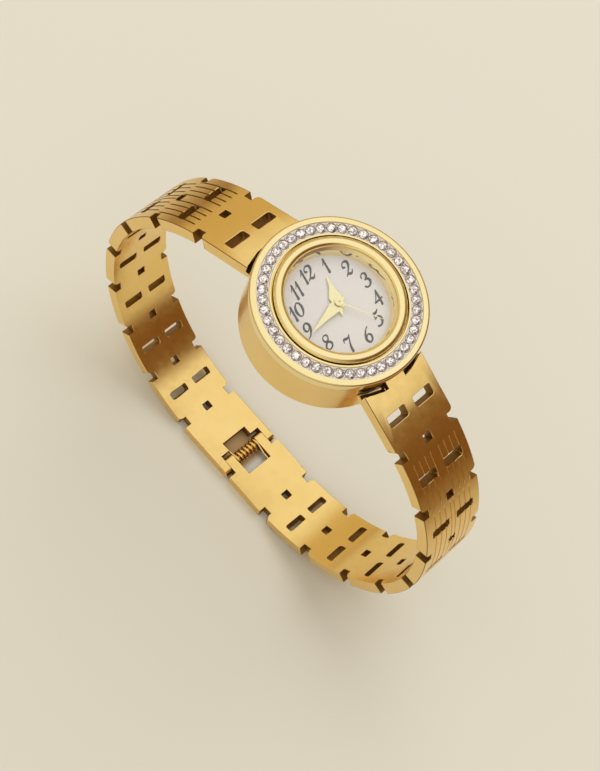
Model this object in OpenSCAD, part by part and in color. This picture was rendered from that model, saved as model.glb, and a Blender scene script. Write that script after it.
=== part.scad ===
// Bangle watch: a round case with a stone-set bezel on a rigid two-half bangle that is cut to look
// like links and opens on a sprung hinge at the back.
// Frame: the bangle stands on the flat of its back. The origin is under the hinge pin, +Z runs up
// through the dial, +X to 6 o'clock, +Y to 3 o'clock. All sizes are in millimetres.

/* [Bangle] */
// Width of the band
band_w = 10.2; // [8:0.1:12]
// Thickness of the band
band_t = 1.82; // [1.4:0.02:2.4]
// Half length of the flat at the back
back_flat = 7.17; // [6.5:0.01:9]
// Outer radius of the lower bend
low_r = 23.71; // [20:0.01:28]
// Turn of the lower bend
low_turn = 48.92; // [44:0.01:52]
// Outer radius of the side bend
side_r = 29.09; // [25:0.01:33]
// Turn of the side bend
side_turn = 67.27; // [62:0.01:70]
// Outer radius of the shoulder bend
top_r = 25.74; // [22:0.01:30]
// Turn of the shoulder bend
top_turn = 36.05; // [32:0.01:38]

/* [Link pattern] */
// Length of one false link along the band
link_pitch = 9.55; // [8:0.05:11]
// Long slots across the band
slot_w = 3.15; // [2.4:0.05:3.6]
// Length of a slot along the band, at the case end
slot_l = 1.55; // [1.1:0.05:2]
// Distance of a slot's middle from the band's centre line
slot_y = 2.3; // [2.1:0.05:2.6]
// Corner radius of the slots
slot_corner = 0.3; // [0.1:0.05:0.45]
// Side of the square hole in the middle of each joint line
square_w = 1.25; // [0.8:0.05:1.8]
// Depth of the notch in each edge
notch_d = 1.1; // [0.6:0.05:1.3]
// Length of the edge notch along the band
notch_l = 1.45; // [1:0.05:2]
// Rounded corner of the notch on its case side
notch_round = 0.55; // [0.2:0.05:0.9]

/* [Back hinge] */
// Radius of the hinge pin
pin_r = 0.5; // [0.35:0.05:0.6]
// Running clearance of the pin in its holes
pin_play = 0.03; // [0.02:0.01:0.08]
// Height of the hinge pin's axis above the middle of the band's thickness
hinge_lift = 0.14; // [0.1:0.01:0.3]
// Length of a knuckle's nose past the pin's axis
nose_l = 1.2; // [1.05:0.05:1.5]
// Space between a nose and the shoulder that it faces
nose_gap = 0.5; // [0.3:0.05:0.9]
// Width of each outer lug
lug_w = 1.2; // [0.9:0.05:1.5]
// Side gap between a lug and the knuckle beside it
side_gap = 0.06; // [0.03:0.01:0.15]
// Space between the spring's coil and the knuckles beside it
coil_side = 0.075; // [0.05:0.005:0.3]
// Reach of the window each way from the pin
window_l = 3.15; // [2.8:0.05:3.8]

/* [Hinge spring] */
// Radius of the spring wire
wire_r = 0.135; // [0.1:0.005:0.14]
// Height of the coil's underside above the surface on which the bangle stands
coil_floor = 0.03; // [0.02:0.01:0.1]
// Advance of the coil in one turn
coil_pitch = 0.69; // [0.66:0.005:0.7]
// Whole turns of the coil
coil_turns = 6; // [4:1:7]
// Clearance round the spring's ends in the arms
leg_play = 0.06; // [0.03:0.01:0.1]

/* [Case] */
// Radius of the case wall
case_r = 11.2; // [10:0.05:12.5]
// Thickness of the case wall
wall_t = 1.9; // [1.7:0.05:2.2]
// Free height between the movement and the case back
back_room = 0.13; // [0.05:0.01:1]
// Depth of the wall above the line where the band's outer face meets it
band_drop = 1.9; // [1.7:0.05:2.2]
// Gap between the case wall and the hollowed end of an arm
arm_gap = 0.8; // [0.4:0.05:1]
// Gap between the case wall and the lip under that hollow
lip_gap = 0.15; // [0.1:0.01:0.4]
// Depth of the lip below the band's outer face
lip_under = 1; // [0.8:0.05:1.3]
// Half width of the tongue in the middle of an arm's end
tongue_half = 1.5; // [1.1:0.05:2]
// Depth of the tongue's pocket in the case wall
pocket_d = 1.3; // [1.1:0.05:1.45]
// Clearance of a tongue in its pocket
tongue_play = 0.06; // [0.03:0.01:0.12]
// Clearance over the free arm's tongue as it swings out of its pocket
swing_play = 0.05; // [0.03:0.01:0.15]
// Radius of the pin that fixes the left arm's tongue
fix_pin_r = 0.3; // [0.2:0.05:0.3]

/* [Bezel and stones] */
// How far the bezel stands out past the case wall
bezel_over = 0.3; // [0.1:0.05:0.8]
// Height of the bezel
bezel_h = 1.44; // [1.2:0.02:1.8]
// Rounding of the bezel's rim
rim_round = 0.34; // [0.15:0.01:0.45]
// Width of the rim outside the stones
rim_w = 0.9; // [0.7:0.05:1.2]
// Width of the stone channel
channel_w = 1.56; // [1.4:0.02:1.8]
// Width of the flat land inside the stones
land_w = 0.29; // [0.2:0.01:0.5]
// Depth of the stone channel
channel_d = 0.95; // [0.8:0.05:1.1]
// Radius of a stone
stone_r = 0.64; // [0.5:0.01:0.65]
// Space between neighbouring stones
stone_gap = 0.12; // [0.08:0.01:0.4]

/* [Glass and dial] */
// Width of the half-round polished ring round the glass
ring_w = 1.5; // [1.3:0.05:1.7]
// Dark groove between the polished ring and the bezel
ring_groove = 0.15; // [0.06:0.01:0.2]
// Thickness of the glass
glass_t = 0.55; // [0.4:0.05:0.65]
// Rise of the polished ring above the bezel's flat top
ring_rise = 0.55; // [0.4:0.05:0.7]
// Thickness of the glass gasket's wall
gasket_t = 0.13; // [0.08:0.01:0.2]
// Depth of the dial below the bezel's flat top
dial_depth = 1.74; // [1.5:0.02:1.9]
// Thickness of the dial
dial_t = 0.35; // [0.25:0.05:0.45]

/* [Hands] */
// Length of the hour hand
hour_l = 4; // [3:0.1:4.6]
// Length of the minute hand
minute_l = 5.8; // [4.8:0.1:6.4]
// Length of the second hand
second_l = 5.85; // [4.8:0.05:6.4]
// Thickness of the hour and minute hands
hand_t = 0.1; // [0.06:0.01:0.12]
// Hour shown
show_hour = 12; // [1:1:12]
// Minute shown
show_minute = 43; // [0:1:59]
// Second shown
show_second = 25; // [0:1:59]

/* [Crown] */
// Radius of the crown
crown_r = 1.3; // [1.1:0.05:1.45]
// Length of the crown
crown_l = 1.35; // [1:0.05:1.6]
// Gap between the crown and the case wall
crown_gap = 0.12; // [0.1:0.01:0.3]
// Radius of the winding stem
stem_r = 0.4; // [0.3:0.05:0.45]
// Travel of the crown when it is pulled to set the hands
crown_travel = 0.7; // [0.5:0.05:1]

/* [Movement] */
// Width of the holder between the movement and the case wall
holder_w = 1.9; // [1.4:0.05:2.4]
// Thickness of the main plate
plate_t = 1; // [0.8:0.05:1.05]
// Radius of the battery
battery_r = 2.9; // [2.5:0.05:3.2]
// Height of the battery
battery_h = 2; // [1.6:0.05:2.4]
// Tooth module of the hour gearing
hour_mod = 0.1; // [0.09:0.005:0.11]
// Tooth module of the second pinion and third wheel
third_mod = 0.06; // [0.055:0.001:0.065]
// Tooth module of the rotor's gearing
rotor_mod = 0.05; // [0.045:0.001:0.055]

/* [Hidden] */

$fn = 64;
seat = 0.02;

// Course of the band's outer face in the XZ plane, from the middle of the back up to the case
low_end = low_turn;
side_end = low_turn + side_turn;
top_end = low_turn + side_turn + top_turn;
low_c = [back_flat, low_r];
low_p = low_c + low_r * [sin(low_end), -cos(low_end)];
side_c = low_p + side_r * [-sin(low_end), cos(low_end)];
side_p = side_c + side_r * [sin(side_end), -cos(side_end)];
top_c = side_p + top_r * [-sin(side_end), cos(side_end)];
top_p = top_c + top_r * [sin(top_end), -cos(top_end)];
slope = tan(180 - top_end);
low_s = back_flat + low_r * low_turn * PI / 180;
side_s = low_s + side_r * side_turn * PI / 180;
top_s = side_s + top_r * top_turn * PI / 180;

// Heading of the band at a length s along its outer face
function heading(s) = s < back_flat ? 0
    : s < low_s ? (s - back_flat) / low_r * 180 / PI
    : s < side_s ? low_end + (s - low_s) / side_r * 180 / PI
    : s < top_s ? side_end + (s - side_s) / top_r * 180 / PI
    : top_end;
// Point of the band's outer face at a length s, as [x, z]
function point(s) = let (h = heading(s)) s < back_flat ? [s, 0]
    : s < low_s ? low_c + low_r * [sin(h), -cos(h)]
    : s < side_s ? side_c + side_r * [sin(h), -cos(h)]
    : s < top_s ? top_c + top_r * [sin(h), -cos(h)]
    : top_p + (s - top_s) * [cos(h), sin(h)];

// Heights in the head, worked out from where the band's outer face meets the case wall
wall_meet = top_p[1] + (top_p[0] - case_r) * slope;
wall_top = wall_meet + band_drop;
bezel_top = wall_top + bezel_h;
dial_top = bezel_top - dial_depth;
dial_low = dial_top - dial_t;
motion_room = 0.6;
plate_top = dial_low - motion_room;
plate_low = plate_top - plate_t;
battery_top = plate_low - 1.44;
strap_t = 0.2;
strap_low = battery_top - battery_h - seat - strap_t;
lid_in = strap_low - back_room;
lid_t = 0.76;
wall_low = lid_in - lid_t;
wall_h = wall_top - wall_low;
hinge_z = band_t / 2 + hinge_lift;

// Radii in the head, from the case wall inwards
bore_r = case_r - wall_t;
plate_r = bore_r - holder_w;
pocket_r = case_r - pocket_d;
arm_end_r = case_r + arm_gap;
bezel_r = case_r + bezel_over;
channel_out = bezel_r - rim_w;
channel_in = channel_out - channel_w;
groove_r = channel_in - land_w;
ring_out = groove_r - ring_groove;
ring_in = ring_out - ring_w;

// Rows of the pattern that fit between the hinge and the end of an arm
end_margin = slot_l / 2 + 1.2;
arm_s = top_s + (top_p[0] - arm_end_r) / cos(180 - top_end);
link_rows = floor((arm_s - end_margin) / link_pitch - 0.5);

// Frame on the band's outer face: X along the band, Z inwards
module along(s) {
    p = point(s);
    translate([p[0], 0, p[1]]) rotate([0, -heading(s), 0]) children();
}

// Stations along the band from its shoulder at the hinge, close enough together to keep it round
shoulder_x = nose_l + nose_gap;
course_step = 1.5;
function bend(s, radius, turn) = let (n = ceil(turn / course_step))
    [for (i = [0:n]) s + radius * turn * PI / 180 * i / n];
stations = concat([shoulder_x], bend(back_flat, low_r, low_turn), bend(low_s, side_r, side_turn),
    bend(side_s, top_r, top_turn), [top_s + (top_p[0] - pocket_r + 2) / cos(180 - top_end)]);

module band_blank() {
    outer = [for (s = stations) point(s)];
    inner = [for (s = stations) point(s) + band_t * [-sin(heading(s)), cos(heading(s))]];
    last = len(stations) - 1;
    translate([0, band_w / 2, 0]) rotate([90, 0, 0]) linear_extrude(band_w)
        polygon(concat(outer, [for (i = [0:last]) inner[last - i]]));
}

module rounded_slot(l, w, r) {
    for (k = [0, 1]) rotate(90 * k) square(k == 0 ? [l - 2 * r, w] : [w - 2 * r, l], center = true);
    for (x = [-1, 1], y = [-1, 1]) translate([x * (l / 2 - r), y * (w / 2 - r)]) circle(r, $fn = 24);
}

module through_band() {
    translate([0, 0, -1]) linear_extrude(band_t + 2) children();
}

module edge_notch() {
    edge = band_w / 2;
    round_c = [notch_l / 2 + notch_round, edge - notch_round];
    arc = [for (a = [180:-18:90]) round_c + notch_round * [cos(a), sin(a)]];
    run_out = arc[5] + 4 * (arc[5] - arc[4]);
    for (side = [0, 1]) mirror([0, side, 0]) through_band()
        polygon(concat([[-notch_l / 2, edge + 1], [-notch_l / 2, edge - notch_d]],
            [[notch_l / 2, edge - notch_d]], arc, [run_out, [run_out[0], edge + 1]]));
}

// Frame at the hinge, in the band's plane: knuckles reach from the shoulder past the pin's axis
lug_in = band_w / 2 - lug_w;
coil_r = hinge_z - coil_floor - wire_r;
leg_bend = 2;
leg_grip = 0.7;
coil_lead = asin(coil_r / leg_bend);
leg_y = coil_pitch * (coil_lead + 180 * coil_turns) / 360;
window_half = leg_y + wire_r + coil_side;

module hinge_leaf(y_from, y_to) {
    for (side = [0, 1]) mirror([0, side, 0]) translate([0, y_to, 0]) rotate([90, 0, 0])
        linear_extrude(y_to - y_from) {
            translate([-nose_l + band_t / 2, 0]) square([shoulder_x + nose_l - band_t / 2 + 0.2, band_t]);
            translate([-nose_l + band_t / 2, band_t / 2]) circle(band_t / 2);
        }
}

// One half of the bangle, reaching towards +X. Its leaf spans y_from to y_to on both sides.
module arm(y_from, y_to, leg_side) {
    difference() {
        union() {
            band_blank();
            hinge_leaf(y_from, y_to);
        }
        translate([-window_l, -window_half, -1]) cube([2 * window_l, 2 * window_half, band_t + 3]);
        translate([0, 0, hinge_z]) rotate([90, 0, 0])
            cylinder(r = pin_r + pin_play, h = 2 * band_w, center = true);
        translate([window_l - 1, leg_side * leg_y, hinge_z]) rotate([0, 90, 0])
            cylinder(r = wire_r + leg_play, h = 1 + leg_grip + 0.15, $fn = 24);
        for (row = [1:link_rows]) along(row * link_pitch) {
            through_band() square(square_w, center = true);
            edge_notch();
        }
        for (row = [1:link_rows]) along((row + 0.5) * link_pitch) for (side = [-1, 1])
            through_band() translate([0, side * slot_y])
                rounded_slot(slot_l - 0.05 * (link_rows - row), slot_w, slot_corner);
        arm_end();
    }
}

// What the case end of an arm loses: a hollow round the case, with a lip left under it and the
// tongue in the middle
over = 3;
module arm_end() {
    tall = wall_h + bezel_h + 2 * over;
    difference() {
        union() {
            translate([0, 0, wall_low - over]) cylinder(r = case_r + lip_gap, h = tall, $fn = 120);
            intersection() {
                translate([0, 0, wall_low - over]) cylinder(r = arm_end_r, h = tall, $fn = 120);
                along(arm_s) translate([-2 * case_r, -band_w, lip_under - 2 * case_r])
                    cube([4 * case_r, 2 * band_w, 2 * case_r]);
            }
        }
        translate([0, -tongue_half, wall_low - over - 1])
            cube([2 * case_r, 2 * tongue_half, tall + 2]);
    }
    translate([pocket_r + 0.1 - case_r, -band_w, wall_low - over]) cube([case_r, 2 * band_w, tall]);
}

// Pin that holds the left arm's tongue, let in from the top of the case wall
fix_pin_x = case_r - 0.55;
fix_pin_l = band_drop + 3;
module fixing_bore() {
    translate([fix_pin_x, 0, wall_top - 0.1 - fix_pin_l - 0.1])
        cylinder(r = fix_pin_r + seat, h = fix_pin_l + 1, $fn = 24);
}

module left_arm() {
    color("goldenrod") mirror([1, 0, 0]) difference() {
        arm(lug_in, band_w / 2, -1);
        fixing_bore();
    }
}

module right_arm() {
    color("darkgoldenrod") arm(window_half, lug_in - side_gap, 1);
}

module hinge_pin() {
    color("gold") translate([0, 0, hinge_z]) rotate([90, 0, 0])
        cylinder(r = pin_r, h = band_w - 0.06, center = true);
}

// Torsion spring: a straight leg, the coil round the pin, and a straight leg to the other side
function coil_point(a) = [coil_r * sin(a), coil_pitch * (a - 180 * coil_turns) / 360,
    hinge_z + coil_r * cos(a)];
function unit(v) = v / norm(v);
coil_steps = 8 * coil_turns + 1;
coil_sweep = 360 * coil_turns + 2 * coil_lead;
spring_path = concat(
    [[-window_l - leg_grip, -leg_y, hinge_z], [-leg_bend, -leg_y, hinge_z]],
    [for (i = [0:coil_steps]) coil_point(-coil_lead + coil_sweep * i / coil_steps)],
    [[leg_bend, leg_y, hinge_z], [window_l + leg_grip, leg_y, hinge_z]]);
function path_tangent(path, i) = unit(path[min(i + 1, len(path) - 1)] - path[max(i - 1, 0)]);
function path_ring(path, i, r, sides) = let (t = path_tangent(path, i),
    b = unit([0, 1, 0] - t[1] * t), n = cross(b, t))
    [for (k = [0:sides - 1]) path[i] + r * (cos(360 * k / sides) * n + sin(360 * k / sides) * b)];

module tube(path, r, sides) {
    rings = len(path);
    points = [for (i = [0:rings - 1]) each path_ring(path, i, r, sides)];
    skin = [for (i = [0:rings - 2], k = [0:sides - 1], half = [0, 1])
        let (a = i * sides + k, b = i * sides + (k + 1) % sides)
        half == 0 ? [a, b, a + sides] : [b, b + sides, a + sides]];
    caps = [for (k = [1:sides - 2], end = [0, 1]) let (first = end * (rings - 1) * sides)
        end == 0 ? [first, first + k + 1, first + k] : [first, first + k, first + k + 1]];
    polyhedron(points, concat(skin, caps));
}

spring_gap = min([for (i = [0:len(spring_path) - 1], j = [i + 5:1:len(spring_path) - 1])
    norm(spring_path[i] - spring_path[j])]) - 2 * wire_r;
echo(spring_gap = spring_gap);

module hinge_spring() {
    color("khaki") tube(spring_path, wire_r, 6);
}

module arm_fixing_pin() {
    color("gold") mirror([1, 0, 0]) translate([fix_pin_x, 0, wall_top - 0.1 - fix_pin_l])
        cylinder(r = fix_pin_r, h = fix_pin_l, $fn = 24);
}

// Head
step_r = case_r - 1;
step_h = 0.75;
back_seat = 1;
stem_drop = 1;
stem_z = plate_low - stem_drop;
tube_r = 0.8;
tube_bore = stem_r + 0.15;

// How much steeper the tongue slopes than it swings, for each millimetre that it comes out
swing_rise = slope - pocket_r / (wall_meet - hinge_z) + swing_play / pocket_d;

// Space for a tongue in the case wall, from the pocket's floor to outside the wall
module pocket(rise) {
    reach = 1;
    thick = band_t / cos(180 - top_end);
    deep_top = wall_meet + pocket_d * slope + tongue_play;
    mouth_top = wall_meet - reach * slope + tongue_play + rise * (pocket_d + reach);
    mouth_low = wall_meet - reach * slope - thick - tongue_play;
    rotate([90, 0, 0]) linear_extrude(2 * (tongue_half + tongue_play), center = true)
        polygon([[pocket_r, deep_top], [pocket_r, deep_top - thick - 2 * tongue_play],
            [case_r + reach, mouth_low], [case_r + reach, mouth_top]]);
}

module case_middle() {
    color("khaki") difference() {
        rotate_extrude($fn = 180) difference() {
            translate([bore_r, wall_low]) square([case_r - bore_r, wall_h]);
            translate([bore_r - 1, wall_top - step_h]) square([1 + step_r - bore_r, step_h + 1]);
            translate([bore_r - 1, wall_low - 1]) square([1 + step_r - bore_r, back_seat + 1]);
        }
        pocket(swing_rise);
        mirror([1, 0, 0]) pocket(0);
        mirror([1, 0, 0]) fixing_bore();
        translate([0, 0, stem_z]) rotate([-90, 0, 0]) cylinder(r = tube_r + seat, h = 2 * case_r, $fn = 48);
    }
}

spigot_w = 0.6;
lip_h = 0.25;
lip_r = groove_r - 0.65;
module bezel() {
    color("gold") rotate_extrude($fn = 180) {
        difference() {
            translate([groove_r, wall_top]) square([bezel_r - groove_r, bezel_h]);
            translate([channel_in, bezel_top - channel_d]) square([channel_out - channel_in, channel_d + 1]);
            translate([bezel_r - rim_round, bezel_top - rim_round]) difference() {
                square(rim_round + 1);
                circle(rim_round, $fn = 48);
            }
        }
        translate([step_r - seat - spigot_w, wall_top - step_h + seat]) square([spigot_w, step_h + 0.1]);
        translate([lip_r, wall_top]) square([groove_r - lip_r + 0.1, lip_h]);
    }
}

// Stones: a round brilliant with its table up, the origin in the middle of its girdle
stone_crown = 0.2;
stone_girdle = 0.05;
stone_depth = 0.5;
stone_z = bezel_top - 0.2;
stone_mid_r = (channel_in + channel_out) / 2;
stones = floor(2 * PI * stone_mid_r / (2 * stone_r + stone_gap));
module each_stone() {
    for (i = [0:stones - 1]) rotate(360 * (i + 0.5) / stones) translate([stone_mid_r, 0, stone_z]) children();
}

module stone_shape(grow) {
    top = stone_crown + stone_girdle;
    rotate_extrude($fn = 24) polygon([[0, top], [0.58 * stone_r, top], [stone_r + grow, stone_girdle],
        [stone_r + grow, 0], [0, -stone_depth - grow]]);
}

module stone_setting() {
    color("silver") difference() {
        rotate_extrude($fn = 180) translate([channel_in + seat, bezel_top - channel_d + seat])
            square([channel_out - channel_in - 2 * seat, channel_d - 0.2]);
        each_stone() {
            cylinder(r = stone_r + seat, h = 1, $fn = 24);
            stone_shape(seat);
        }
    }
}

module bezel_stones() {
    color("white") each_stone() stone_shape(0);
}

// Glass, its polished ring and the dial
ring_mid = (ring_in + ring_out) / 2;
ring_round = (ring_out - ring_in) / 2;
ring_cz = bezel_top + ring_rise - ring_round;
ring_low = wall_top + lip_h;
rebate_r = ring_in + 0.65;
glass_top = ring_cz + 0.26;
glass_low = glass_top - glass_t;
module glass_ring() {
    color("gold") rotate_extrude($fn = 180) difference() {
        union() {
            translate([ring_in, ring_low]) square([ring_out - ring_in, ring_cz - ring_low]);
            translate([ring_mid, ring_cz]) circle(ring_round);
        }
        translate([ring_in - 1, ring_low - 1]) square([1 + rebate_r - ring_in, glass_top - ring_low + 1]);
    }
}

module glass() {
    color([0.85, 0.93, 0.97, 0.35]) translate([0, 0, glass_low])
        cylinder(r = rebate_r - gasket_t - seat, h = glass_t - seat, $fn = 120);
}

module glass_gasket() {
    color("whitesmoke") rotate_extrude($fn = 120) translate([rebate_r - gasket_t, glass_low])
        square([gasket_t - seat, glass_t - seat]);
}

dial_r = bore_r - 0.3;
module dial_ring() {
    color("gold") rotate_extrude($fn = 180) {
        translate([ring_in, dial_top]) square([rebate_r - seat - ring_in, glass_low - seat - dial_top]);
        translate([ring_in, dial_top]) square([dial_r - 0.1 - ring_in, wall_top - seat - dial_top]);
    }
}

cannon_r = 0.38;
hour_tube_r = 0.6;
arbor_r = 0.12;
module dial() {
    color("gainsboro") translate([0, 0, dial_low]) difference() {
        cylinder(r = dial_r, h = dial_t, $fn = 180);
        translate([0, 0, -1]) cylinder(r = hour_tube_r + 0.15, h = dial_t + 2);
    }
}

// Hands: flat kites with hollow flanks and a boss, turned clockwise from 12 o'clock, which is at -X
hour_z = dial_top + 0.25;
minute_z = hour_z + 0.3;
second_z = minute_z + 0.25;
function clock(turns) = 180 - 360 * turns;
minute_turn = (show_minute + show_second / 60) / 60;
module kite(tip, shoulder, half, tail, waist) {
    neck = shoulder + 0.4 * (tip - shoulder);
    polygon([[tip, 0], [neck, waist], [shoulder, half], [-tail, 0], [shoulder, -half], [neck, -waist]]);
}

module boss_ring(r_out, r_in, h) {
    difference() {
        cylinder(r = r_out, h = h, $fn = 48);
        translate([0, 0, -1]) cylinder(r = r_in, h = h + 2, $fn = 48);
    }
}

module hour_hand() {
    color("palegoldenrod") translate([0, 0, hour_z]) rotate(clock((show_hour % 12 + minute_turn) / 12))
        difference() {
            linear_extrude(hand_t) {
                kite(hour_l, 1, 0.86, 1.8, 0.34);
                circle(hour_tube_r + 0.22, $fn = 48);
            }
            translate([0, 0, -1]) cylinder(r = hour_tube_r + seat, h = 3, $fn = 48);
        }
}

module minute_hand() {
    color("palegoldenrod") translate([0, 0, minute_z]) rotate(clock(minute_turn)) difference() {
        linear_extrude(hand_t) {
            kite(minute_l, 0.9, 0.74, 1.4, 0.37);
            circle(cannon_r + 0.22, $fn = 48);
        }
        translate([0, 0, -1]) cylinder(r = cannon_r + seat, h = 3, $fn = 48);
    }
}

module second_hand() {
    color("palegoldenrod") translate([0, 0, second_z]) rotate(clock(show_second / 60)) difference() {
        union() {
            linear_extrude(0.06) polygon([[0.3, 0.09], [second_l, 0.035], [second_l, -0.035], [0.3, -0.09]]);
            cylinder(r = 0.52, h = 0.16, $fn = 48);
        }
        translate([0, 0, -1]) cylinder(r = arbor_r + seat, h = 2, $fn = 24);
    }
}

// Crown on its stem at 3 o'clock, with the tube that carries it in the case wall
crown_y = case_r + crown_gap;
cap_t = 0.5;
tube_out = case_r + crown_l - cap_t - 0.15;
module along_stem(y) {
    translate([0, y, stem_z]) rotate([-90, 0, 0]) children();
}

module crown() {
    color("gold") along_stem(crown_y) difference() {
        linear_extrude(crown_l) difference() {
            circle(crown_r);
            for (i = [0:23]) rotate(15 * i) translate([crown_r + 0.07, 0]) circle(0.13, $fn = 16);
        }
        translate([0, 0, -1]) cylinder(r = tube_r + 0.2, h = 1 + crown_l - cap_t);
        translate([0, 0, -1]) cylinder(r = stem_r + seat, h = 1 + crown_l - 0.2);
    }
}

stem_in = plate_r - 2.4 - crown_travel;
module winding_stem() {
    color("silver") along_stem(stem_in) difference() {
        cylinder(r = stem_r, h = crown_y + crown_l - 0.22 - stem_in);
        translate([0, 0, 0.9]) boss_ring(1, stem_r - 0.15, 0.5);
    }
}

module crown_tube() {
    color("silver") along_stem(bore_r + 0.05) boss_ring(tube_r, tube_bore, tube_out - bore_r - 0.05);
}

module crown_gasket() {
    color("dimgray") along_stem(crown_y + 0.1) boss_ring(tube_r + 0.2 - seat, tube_r + seat, 0.3);
}

// A plate whose finger sits in the stem's groove and goes out with it
module setting_lever() {
    color("silver") difference() {
        union() {
            translate([-1.8, stem_in + 1, stem_z + stem_r + 0.1]) cube([2, 1, 0.2]);
            translate([-0.2, stem_in + 1, stem_z]) cube([0.4, 0.3, stem_r + 0.2]);
        }
        along_stem(stem_in) cylinder(r = stem_r - 0.15 + seat, h = 3);
    }
}

// Case back: a pressed lid whose spigot carries the movement holder
lid_edge = step_r - 0.05;
spigot_top = lid_in + 0.9;
gasket_in = bore_r + 0.1;
module case_back() {
    color("silver") rotate_extrude($fn = 180) polygon([[0, wall_low - 0.3], [lid_edge - 2.15, wall_low - 0.3],
        [lid_edge, wall_low + 0.05], [lid_edge, lid_in], [bore_r - 0.1, lid_in],
        [bore_r - 0.1, spigot_top], [bore_r - 0.9, spigot_top], [bore_r - 0.9, lid_in], [0, lid_in]]);
}

module case_back_gasket() {
    color("dimgray") translate([0, 0, lid_in + seat])
        boss_ring(lid_edge, gasket_in, wall_low + back_seat - lid_in - 2 * seat);
}

// Movement, hung from the main plate just under the dial
pivot_play = 0.03;
pivot_l = 0.3;
wheel_t = 0.15;
centre_z = plate_low - 0.25;
third_z = plate_low - 0.55;
second_wheel_z = plate_low - 0.85;
inter_z = plate_low - 1.1;
stator_z = plate_low - 1.5;
bridge_top = plate_low - 1.6;
bridge_t = 0.5;
board_t = 0.3;
board_top = bridge_top - bridge_t - 0.04;
function polar(r, a) = r * [cos(a), sin(a)];
battery_at = polar(plate_r - battery_r - 0.12, -27);
second_mod = (34 * third_mod + 0.06) / 20;
third_dir = -100;
inter_dir = 150;
rotor_dir = 250;
minute_dir = 60;
third_at = polar(34 * third_mod, third_dir);
inter_at = polar(20 * second_mod, inter_dir);
rotor_at = inter_at + polar(33 * rotor_mod, rotor_dir);
minute_at = polar(20 * hour_mod, minute_dir);
pillars = [[1.5, 2.6], [-0.9, 3.3], polar(65 * third_mod + 0.67, third_dir)];

module gear(teeth, mod, phase, t) {
    step = 360 / teeth;
    low = mod * (teeth / 2 - 1.15);
    tip = mod * (teeth / 2 + 0.85);
    rotate(phase) linear_extrude(t) polygon([for (i = [0:teeth - 1])
        each [polar(low, (i - 0.3) * step), polar(tip, (i - 0.14) * step),
            polar(tip, (i + 0.14) * step), polar(low, (i + 0.3) * step)]]);
}

module rod(at, z_from, z_to, r) {
    translate([at[0], at[1], z_from]) cylinder(r = r, h = z_to - z_from, $fn = 32);
}

module at_height(at, z) {
    translate([at[0], at[1], z]) children();
}

module movement_holder() {
    color("whitesmoke") difference() {
        translate([0, 0, spigot_top + seat])
            boss_ring(bore_r - 0.1, plate_r + seat, dial_low - spigot_top - 2 * seat);
        along_stem(0) cylinder(r = stem_r + 0.2, h = case_r);
    }
}

module main_plate() {
    color("silver") difference() {
        union() {
            translate([0, 0, plate_low]) cylinder(r = plate_r, h = plate_t, $fn = 120);
            for (p = pillars) rod(p, bridge_top + seat, plate_low + 0.2, 0.45);
            rod(minute_at, plate_top - 0.2, dial_low - 0.05, 0.15);
        }
        rod([0, 0], plate_low - 1, plate_top + 1, cannon_r + pivot_play);
        for (p = [third_at, inter_at, rotor_at])
            rod(p, plate_low - 1, plate_low + pivot_l + 0.05, arbor_r + pivot_play);
        for (p = pillars) rod(p, bridge_top - 1, bridge_top + 0.6, 0.22);
    }
}

module train_bridge() {
    color("silver") difference() {
        translate([0, 0, bridge_top - bridge_t]) linear_extrude(bridge_t) {
            outline = [pillars[0], pillars[1], inter_at, rotor_at, pillars[2]];
            polygon(outline);
            for (p = outline) translate(p) circle(0.7);
        }
        battery_well();
        for (p = [[0, 0], third_at, inter_at, rotor_at])
            rod(p, bridge_top - pivot_l - 0.05, bridge_top + 1, arbor_r + pivot_play);
        for (p = pillars) rod(p, bridge_top - 1, bridge_top + 1, 0.22);
    }
}

module bridge_screws() {
    color("gold") for (p = pillars) {
        rod(p, board_top - board_t - 0.27, board_top - board_t - seat, 0.45);
        rod(p, board_top - board_t - 0.2, bridge_top + 0.5, 0.2);
    }
}

module circuit_board() {
    color("darkgreen") difference() {
        translate([0, 0, board_top - board_t]) cylinder(r = plate_r - 0.3, h = board_t, $fn = 120);
        battery_well();
        for (p = pillars) rod(p, board_top - 1, board_top + 1, 0.22);
    }
}

module quartz_can() {
    color("silver") translate([plate_r - 5.2, 4, board_top + 0.5 + seat]) rotate([0, 90, 0])
        cylinder(r = 0.5, h = 3);
}

module battery_well() {
    at_height(battery_at, battery_top - battery_h) cylinder(r = battery_r + 0.1, h = battery_h + 1);
}

module battery() {
    color("silver") at_height(battery_at, battery_top - battery_h) {
        translate([0, 0, 0.25]) cylinder(r = battery_r, h = battery_h - 0.25, $fn = 96);
        cylinder(r = battery_r - 0.4, h = 0.3, $fn = 96);
    }
}

// A strip under the battery that turns up to the circuit board
strap_w = 1.2;
module battery_strap() {
    strap_x = battery_at[0] - battery_r - 0.5;
    color("gold") translate([strap_x, battery_at[1] - strap_w / 2, strap_low]) {
        cube([battery_at[0] + strap_w / 2 - strap_x, strap_w, strap_t]);
        cube([strap_t, strap_w, board_top - board_t - seat - strap_low]);
    }
}

module rotor() {
    color("dimgray") at_height(rotor_at, 0) {
        rod([0, 0], stator_z - 0.05, inter_z - 0.05, 0.6);
        rod([0, 0], bridge_top - pivot_l, plate_low + pivot_l, arbor_r);
        translate([0, 0, inter_z - 0.03]) gear(6, rotor_mod, rotor_dir + 210, wheel_t + 0.01);
    }
}

module intermediate_wheel() {
    color("goldenrod") at_height(inter_at, 0) {
        rod([0, 0], bridge_top - pivot_l, plate_low + pivot_l, arbor_r);
        translate([0, 0, inter_z]) gear(60, rotor_mod, rotor_dir, 0.1);
        translate([0, 0, second_wheel_z - 0.03]) gear(10, second_mod, inter_dir + 198, wheel_t + 0.06);
    }
}

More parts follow.
